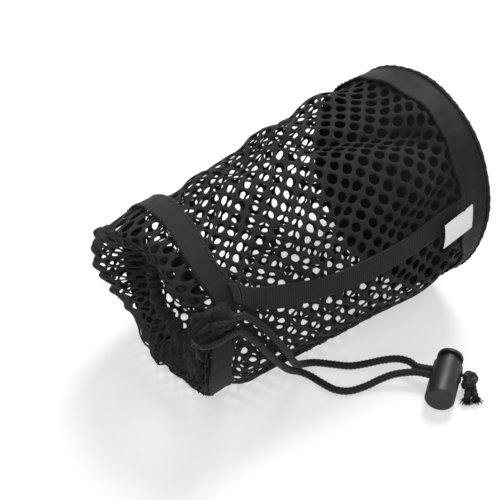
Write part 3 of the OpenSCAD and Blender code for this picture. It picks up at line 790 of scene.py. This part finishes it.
vv = np.concatenate([top.reshape(-1, 3), bot.reshape(-1, 3)])
k = nr * na
f1 = grid_faces(nr, na, wrap_m=True, flip=True)
rimf = np.stack([(nr - 1) * na + np.arange(na), (nr - 1) * na + (np.arange(na) + 1) % na,
                 k + (nr - 1) * na + (np.arange(na) + 1) % na, k + (nr - 1) * na + np.arange(na)], 1)
ff = np.concatenate([f1, f1[:, ::-1] + k, rimf])
uvp = np.stack([vv[:, 1], vv[:, 2]], -1)
panel = make("base_cloth", vv, ff, uvp, SATIN)
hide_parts("base_panel")


# ---------------------------------------------------------------- strap, label
def strip(line_x, line_a, width, place, n=220, m=15, thick=1.0, d0=0.6):
    """Flat webbing bed along (x, a) rows; returns the bed points, the smoothed rows x and a, and the steps across."""
    t = np.linspace(0, 1, len(line_x))
    tt = np.linspace(0, 1, n)
    lx, la = np.interp(tt, t, line_x), np.interp(tt, t, line_a)
    for _ in range(30):
        lx[1:-1] += 0.4 * ((lx[2:] + lx[:-2]) / 2 - lx[1:-1])
        la[1:-1] += 0.4 * ((la[2:] + la[:-2]) / 2 - la[1:-1])
    w = np.linspace(-0.5, 0.5, m)
    X = lx[:, None] + 0 * w
    half = width / 49.0
    A = np.radians(la)[:, None] + half * w
    bed = place(X, A)
    return bed, lx, la, w


rows = [(XC - 3.0, 141.5), (XC + 4, 145.5), (XC + 8, 148), (XC + 18, 152), (XC + 30, 156.5), (XC + 44, 160.5), (XC + 57, 163),
        (XC + 70, 164), (XC + 84, 164), (XC + 98, 163.5), (XR - BAND_W - 7, 162.5), (XR - BAND_W + 3, 160.5)]
bed, lx, la, w = strip([r[0] for r in rows], [r[1] for r in rows], 10.0, lambda x, a: on_net(x, a, 0.45))
n, m = bed.shape[:2]
base_line = bed.copy()
soft = bed.copy()
nrm = sample(net_n, lx[:, None] + 0 * w, np.radians(la)[:, None] + 0 * w)
nrm /= np.linalg.norm(nrm, axis=-1, keepdims=True)
hgt = np.zeros((n, m))
for _ in range(160):
    soft[1:-1] += 0.45 * ((soft[2:] + soft[:-2]) / 2 - soft[1:-1])
    soft[:, 1:-1] += 0.2 * ((soft[:, 2:] + soft[:, :-2]) / 2 - soft[:, 1:-1])
    hgt = np.sum((soft - base_line) * nrm, axis=-1)
    soft = np.where((hgt < 0)[..., None], soft - hgt[..., None] * nrm, soft)
tt = np.linspace(0, 1, n)[:, None]
over = np.clip((lx[:, None] - (XR - BAND_W - 3)) / 3, 0, 1) + np.clip((XC + 1.5 - lx[:, None]) / 3, 0, 1)
d_low = 0.15 + 1.1 * over
roll = 0.25 * np.sin(7 * tt * 3.1 + 1) * w * 2
top = soft + nrm * (d_low + 0.95 + roll - 0.18 * (np.abs(w) > 0.49) + 0.1 * (np.abs(np.abs(w) - 0.42) < 0.05))[..., None]
bot = soft + nrm * (d_low + roll)[..., None]
vv = np.concatenate([top.reshape(-1, 3), bot.reshape(-1, 3)])
k = n * m
f1 = grid_faces(n, m)
i = np.arange(n - 1)
j = np.arange(m - 1)
side = [np.stack([i * m, k + i * m, k + (i + 1) * m, (i + 1) * m], 1),
        np.stack([i * m + m - 1, (i + 1) * m + m - 1, k + (i + 1) * m + m - 1, k + i * m + m - 1], 1),
        np.stack([j, j + 1, k + j + 1, k + j], 1),
        np.stack([(n - 1) * m + j, k + (n - 1) * m + j, k + (n - 1) * m + j + 1, (n - 1) * m + j + 1], 1)]
arc = np.concatenate([[0], np.cumsum(np.linalg.norm(np.diff(soft[:, m // 2], axis=0), axis=1))])
uvs = np.stack([np.repeat(arc[:, None], m, 1) * 1.0, np.repeat((w * 10)[None], n, 0)], -1).reshape(-1, 2)
strap = make("carry_webbing", vv, np.concatenate([f1, f1[:, ::-1] + k] + side), np.concatenate([uvs, uvs])[:, ::-1], WEB)
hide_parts("carry_strap")
strap_top = top

# label: a folded piece of white satin, its cut ends sewn at the band
nl, ml = 34, 24
s_ = np.linspace(0, 1, nl)
x1l = XR - BAND_W + 6.5


def label_at(s, wv, d):
    x = x1l - 16 * s
    ang = 171.5 - 4 * (1 - s)
    curl = 0.5 * s * s * (1 - 2 * np.abs(wv)) + 0.35 * s * np.sin(3 * wv + 1)
    return skin(x, np.radians(ang + wv * 2 * 6.4), d + curl * 0.6 + 0.3 * s)


leafs = np.concatenate([s_, s_[::-1] * 1.0])
dd = np.concatenate([np.full(nl, 2.3), np.full(nl, 1.72)])
fold_r = np.concatenate([np.clip((s_ - 0.96) / 0.04, 0, 1), np.clip((s_[::-1] - 0.96) / 0.04, 0, 1)])
dd = dd + np.where(dd > 2, -1, 1) * 0.18 * fold_r
wl = np.linspace(-0.5, 0.5, ml)
Lx, Wl = np.meshgrid(leafs, wl, indexing="ij")
Dl = np.repeat(dd[:, None], ml, 1)
v = label_at(Lx, Wl, Dl)
n2 = 2 * nl
f = [grid_faces(n2, ml)]
for col in (0, ml - 1):
    i = np.arange(nl - 1)
    a_, b_ = i * ml + col, (i + 1) * ml + col
    c_, d_ = (n2 - 2 - i) * ml + col, (n2 - 1 - i) * ml + col
    q_ = np.stack([a_, b_, c_, d_], 1)
    f.append(q_ if col == 0 else q_[:, ::-1])
uvl = np.stack([Lx * 16, Wl * 11], -1).reshape(-1, 2)
lab = make("folded_label", v.reshape(-1, 3), np.concatenate(f), uvl, LABEL, body="label", smooth=False)
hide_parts("care_label")


# ---------------------------------------------------------------- stitches
def stitch(points, normal_fn, length=2.2, gap=1.1, r=0.22):
    """Short thread stitches along points."""
    p, total = catmull(points, max(8, int(6 * len(points))))
    s = np.concatenate([[0], np.cumsum(np.linalg.norm(np.diff(p, axis=0), axis=1))])
    parts, at = [], 0.4
    while at + length < s[-1]:
        t = np.linspace(at, at + length, 6)
        q = np.stack([np.interp(t, s, p[:, k]) for k in range(3)], 1)
        q = q + normal_fn(q) * (0.18 * np.sin(np.linspace(0, np.pi, 6)))[:, None]
        tg, sd, bn = frames(q)
        th = np.linspace(0, 2 * np.pi, 6, endpoint=False)
        rr_ = r * np.array([0.5, 1, 1, 1, 1, 0.5])
        vv_ = q[:, None] + rr_[:, None, None] * (np.cos(th)[None, :, None] * sd[:, None] + np.sin(th)[None, :, None] * bn[:, None])
        parts.append((vv_.reshape(-1, 3), grid_faces(6, 6, wrap_m=True), np.zeros((36, 2)) + q[0, :2]))
        at += length + gap
    return parts


def outward(q):
    d = q - np.array([0, 0, 46.0])
    d[:, 0] = 0
    return d / np.linalg.norm(d, axis=1, keepdims=True)


ring = np.linspace(0, 2 * np.pi, 200)
parts = stitch(puckered(XF + 1.4 + 0 * ring, ring, 1.12 + 0 * ring), outward)
parts += stitch(puckered(XC - 1.4 + 0 * ring, ring, 1.12 + 0 * ring), outward)
parts += stitch(band_place(XR - BAND_W + 1.2 + 0 * ring, ring, 1.0 + 0 * ring), outward)
parts += stitch(band_place(XR - 1.0 + 0 * ring, ring, 1.0 + 0 * ring), outward)
# bar tacks where the strap is sewn down
for row in (9, 15, n - 8, n - 14):
    parts += stitch(strap_top[row, 1:-1] + 0.05 * nrm[row, 1:-1], outward, 1.5, 0.35, 0.26)
v, f, uv = join(parts)
th = make("seam_stitches", v, f, uv, THREAD)
lp_ = [label_at(np.full(9, 0.06), np.linspace(-0.46, 0.46, 9), np.full(9, 2.42))]
v, f, uv = join(stitch(lp_[0], outward, 1.4, 0.5, 0.2))
make("label_stitches", v, f, uv, LABEL, body="label")

# ---------------------------------------------------------------- knot and tails
tk = np.linspace(0, 2 * np.pi, 420)
kx = (np.sin(tk) + 2 * np.sin(2 * tk)) * 1.15
kz = (np.cos(tk) - 2 * np.cos(2 * tk)) * 1.05
kq = -np.sin(3 * tk) * 1.7
kp = KNOT + kx[:, None] * LOCK_U + kq[:, None] * LOCK_Q + kz[:, None] * np.array([0, 0, 1.0])
v, f, uv = braid(kp, 1.95, closed_ends=False)
kp2 = KNOT + (kx * 0.45)[:, None] * LOCK_U + (kq * 0.5)[:, None] * LOCK_Q + (kz * 0.45)[:, None] * np.array([0, 0, 1.0])
v2, f2, uv2 = braid(kp2, 2.1, closed_ends=False)
v, f, uv = join([(v, f, uv), (v2, f2, uv2)])
v[:, 2] = np.maximum(v[:, 2], 0.3)
knot = make("cord_knot", v, f, uv, CORD)
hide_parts("drawcord_knot")
for key, mid, end in (("a", -0.6 * LOCK_U, (16, -101.5, 2.2)), ("b", np.array([0, -0.8, 0]), (19.5, -103.5, 2.2))):
    st = KNOT - 2 * LOCK_U if key == "a" else KNOT + np.array([-0.5, -1.6, -0.4])
    end = np.array(end, float)
    line, _ = catmull([st, (KNOT + end) / 2 + mid, end], 90)
    v, f, uv = braid(line, CORD_R * 0.97)
    bits = [(v, f, uv)]
    dirn = line[-1] - line[-8]
    dirn /= np.linalg.norm(dirn)
    for _ in range(170):
        o = rng.normal(0, 0.8, 3)
        o -= dirn * (o @ dirn)
        L = rng.uniform(1.0, 3.4)
        t = np.linspace(0, 1, 6)[:, None]
        b0 = line[-4] + o
        q = b0 + dirn * t * L + o * t * t * rng.uniform(0.3, 1.6) + rng.normal(0, 0.25, 3) * t * t
        q[:, 2] = np.maximum(q[:, 2], 0.2)
        tg, sd, bn = frames(q)
        a5 = np.linspace(0, 2 * np.pi, 5, endpoint=False)
        r_ = np.linspace(0.17, 0.07, 6)
        vv_ = q[:, None] + r_[:, None, None] * (np.cos(a5)[None, :, None] * sd[:, None] + np.sin(a5)[None, :, None] * bn[:, None])
        bits.append((vv_.reshape(-1, 3), grid_faces(6, 5, wrap_m=True), np.zeros((30, 2)) + t.mean()))
    v, f, uv = join(bits)
    v[:, 2] = np.maximum(v[:, 2], 0.12)
    tl = make(f"frayed_tail_{key}", v, f, uv, CORD)
    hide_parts(f"cord_tail_{key}")

# ---------------------------------------------------------------- lock: CAD pieces with their finish
for nm, mat in (("lock_barrel", LOCK), ("lock_plunger", LOCK)):
    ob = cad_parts[nm]
    for sl in ob.material_slots:
        sl.material = mat

# spring: closed end coils
ts = np.linspace(0, 1, 360)
turns = 2 * np.pi * 5.0 * ts
rise = np.interp(ts, [0, 0.2, 0.8, 1], [0.35, 0.95, 6.2, 6.8])
sp = LOCK_P + (2.3 + rise)[:, None] * LOCK_U + 3.6 * (np.cos(turns)[:, None] * LOCK_Q + np.sin(turns)[:, None] * np.array([0, 0, 1.0]))
tg, sd, bn = frames(sp)
ws = np.linspace(0, 2 * np.pi, 10, endpoint=False)
wv = sp[:, None] + 0.3 * (np.cos(ws)[None, :, None] * sd[:, None] + np.sin(ws)[None, :, None] * bn[:, None])
coil = make("spring_coil", wv.reshape(-1, 3), grid_faces(360, 10, wrap_m=True), np.zeros((3600, 2)), WIRE, body="lock")
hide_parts("lock_spring")
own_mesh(coil)

for key in ("a", "b"):
    ob, line, length = cord_objs[key]

# ---------------------------------------------------------------- floor, light
floor_me = bpy.data.meshes.new("floor")
floor_me.from_pydata([(-3, -3, 0), (3, -3, 0), (3, 3, 0), (-3, 3, 0)], [], [(0, 1, 2, 3)])
floor = bpy.data.objects.new("floor", floor_me)
bpy.context.scene.collection.objects.link(floor)
fm, nt, p = nodes_of("floor_white")
p.inputs["Base Color"].default_value = (0.5, 0.5, 0.5, 1)
p.inputs["Roughness"].default_value = 0.9
p.inputs["Specular IOR Level"].default_value = 0.1
lp = node(nt, "ShaderNodeLightPath")
seen = math_n(nt, "MAXIMUM", lp.outputs["Is Camera Ray"], math_n(nt, "MAXIMUM", lp.outputs["Is Glossy Ray"], lp.outputs["Is Transmission Ray"]))
em = node(nt, "ShaderNodeEmission", Strength=1.0)
em.inputs["Color"].default_value = (1, 1, 1, 1)
nt.links.new(math_n(nt, "MULTIPLY", seen, 0.50), em.inputs["Strength"])
add = nt.nodes.new("ShaderNodeAddShader")
nt.links.new(p.outputs[0], add.inputs[0])
nt.links.new(em.outputs[0], add.inputs[1])
nt.links.new(add.outputs[0], [x for x in nt.nodes if x.type == "OUTPUT_MATERIAL"][0].inputs[0])
floor_me.materials.append(fm)

world = bpy.data.worlds.new("world")
bpy.context.scene.world = world
world.use_nodes = True
wn = world.node_tree
bg = wn.nodes["Background"]
bg.inputs[0].default_value = (1, 1, 1, 1)
lpw = wn.nodes.new("ShaderNodeLightPath")
mx = wn.nodes.new("ShaderNodeMath")
mx.operation = "MAXIMUM"
wn.links.new(lpw.outputs["Is Camera Ray"], mx.inputs[0])
wn.links.new(lpw.outputs["Is Transmission Ray"], mx.inputs[1])
mm = wn.nodes.new("ShaderNodeMath")
mm.operation = "MULTIPLY_ADD"
mm.inputs[1].default_value = 0.45
mm.inputs[2].default_value = 0.55
wn.links.new(mx.outputs[0], mm.inputs[0])
wn.links.new(mm.outputs[0], bg.inputs[1])


def sun(name, way, angle, strength):
    ld = bpy.data.lights.new(name, "SUN")
    ld.angle = math.radians(angle)
    ld.energy = strength
    lo = bpy.data.objects.new(name, ld)
    lo.rotation_euler = (-Vector(way)).to_track_quat("-Z", "Y").to_euler()
    bpy.context.scene.collection.objects.link(lo)


sun("key", (0.62, 0.42, 1.0), 22, 2.2)
sun("fill", (-0.7, -0.9, 1.1), 50, 0.7)
bpy.context.scene.view_settings.view_transform = "Standard"
